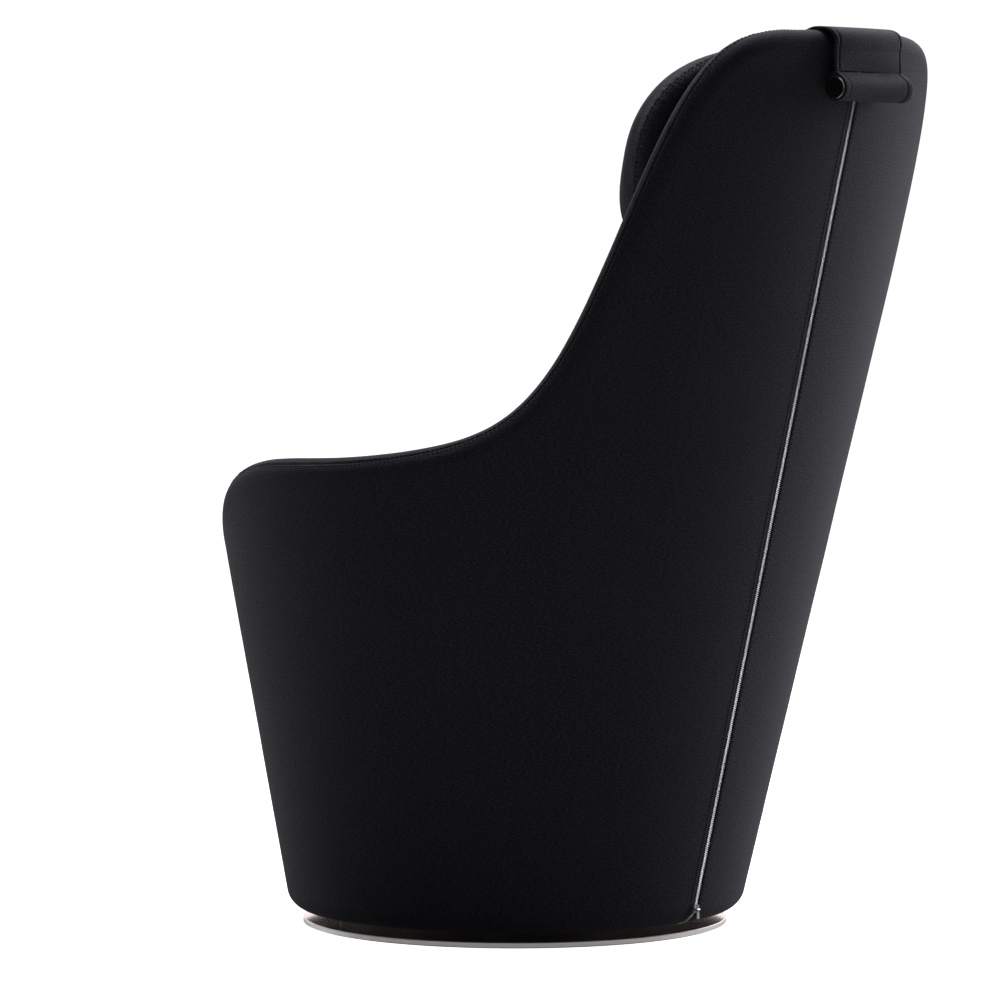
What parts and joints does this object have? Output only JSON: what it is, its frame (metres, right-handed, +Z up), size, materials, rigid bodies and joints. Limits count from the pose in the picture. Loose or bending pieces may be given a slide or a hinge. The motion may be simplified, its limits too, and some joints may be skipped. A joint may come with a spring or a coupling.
{
  "type": "high back lounge chair",
  "caption": "Round upholstered lounge chair with a high back, low arms, a hung headrest with counterweight, a rear zip and a swivelling disc base.",
  "frame": {"origin": "on the floor, on the swivel axis", "axes": "+Z up along the swivel axis, -Y towards the front of the seat, +X towards the sitter's left"},
  "size_m": [0.712, 0.8186, 0.9973],
  "materials": {
    "upholstery": "matte",
    "foam": "matte",
    "black_cloth": "matte",
    "plate_metal": "gloss",
    "rubber": "matte",
    "steel": "satin",
    "painted_steel": "satin",
    "board": "matte",
    "bearing_plastic": "satin",
    "zip_metal": "polished",
    "cap_plastic": "gloss",
    "bright_metal": "polished"
  },
  "bodies": {
    "base": {"floor_pad": "rubber", "base_plate": "plate_metal", "base_screws": "steel", "spindle": "steel", "thrust_bearing": "bearing_plastic", "retaining_washer": "steel", "retaining_screw": "steel"},
    "chair": {"swivel_hub": "steel", "hub_bush": "bearing_plastic", "hub_bolts": "steel", "cross_rails": "painted_steel", "base_ring": "painted_steel", "bottom_board": "board", "dust_cover": "black_cloth", "back_post_left": "painted_steel", "back_post_right": "painted_steel", "back_hoop": "painted_steel", "rear_arm_post_left": "painted_steel", "rear_arm_post_right": "painted_steel", "front_arm_post_left": "painted_steel", "front_arm_post_right": "painted_steel", "arm_hoop_left": "painted_steel", "arm_hoop_right": "painted_steel", "seat_ring": "painted_steel", "seat_board": "board", "deck_cloth": "black_cloth", "foam_back": "foam", "foam_side_left": "foam", "foam_side_right": "foam", "foam_front": "foam", "outer_cover": "upholstery", "inner_cover": "upholstery", "seat_cushion_foam": "foam", "seat_cushion_cover": "upholstery", "seat_cushion_base_cloth": "black_cloth", "zip_tape_left": "black_cloth", "zip_tape_right": "black_cloth", "zip_chain": "zip_metal", "zip_top_stop": "zip_metal", "zip_bottom_stop": "zip_metal", "strap_saddle": "upholstery"},
    "zip_slider_body": {"zip_slider": "zip_metal"},
    "zip_pull_body": {"zip_pull": "zip_metal"},
    "headrest": {"headrest_foam": "foam", "headrest_front_cover": "upholstery", "headrest_rear_cover": "upholstery", "strap_front": "upholstery"},
    "counterweight": {"counterweight_rod": "steel", "roll_sleeve": "upholstery", "roll_cap_left": "cap_plastic", "roll_cap_right": "cap_plastic", "roll_ring_left": "bright_metal", "roll_ring_right": "bright_metal", "strap_rear": "upholstery"}
  },
  "joints": [
    {"name": "seat_swivel", "type": "hinge", "parent": "base", "child": "chair", "pos_m": [0, 0, 0], "axis": [0, 0, 1], "continuous": true},
    {"name": "headrest_slide", "type": "slide", "parent": "chair", "child": "headrest", "axis": [0, 0.2505, 0.9681], "range_m": [-0.02, 0.05], "deforming": ["strap_front"]},
    {"name": "counterweight_slide", "type": "slide", "parent": "chair", "child": "counterweight", "axis": [0, 0.2356, 0.9719], "range_m": [-0.05, 0.02], "deforming": ["strap_rear"]},
    {"name": "zip_slide", "type": "slide", "parent": "chair", "child": "zip_slider_body", "axis": [0, 0.2356, 0.9719], "range_m": [0, 0.68]},
    {"name": "zip_pull_hinge", "type": "hinge", "parent": "zip_slider_body", "child": "zip_pull_body", "pos_m": [0, 0.26451, 0.03393], "axis": [1, 0, 0], "range_deg": [-12, 150]}
  ],
  "couplings": [
    {"joint": "counterweight_slide", "follows": "headrest_slide", "ratio": -1}
  ]
}
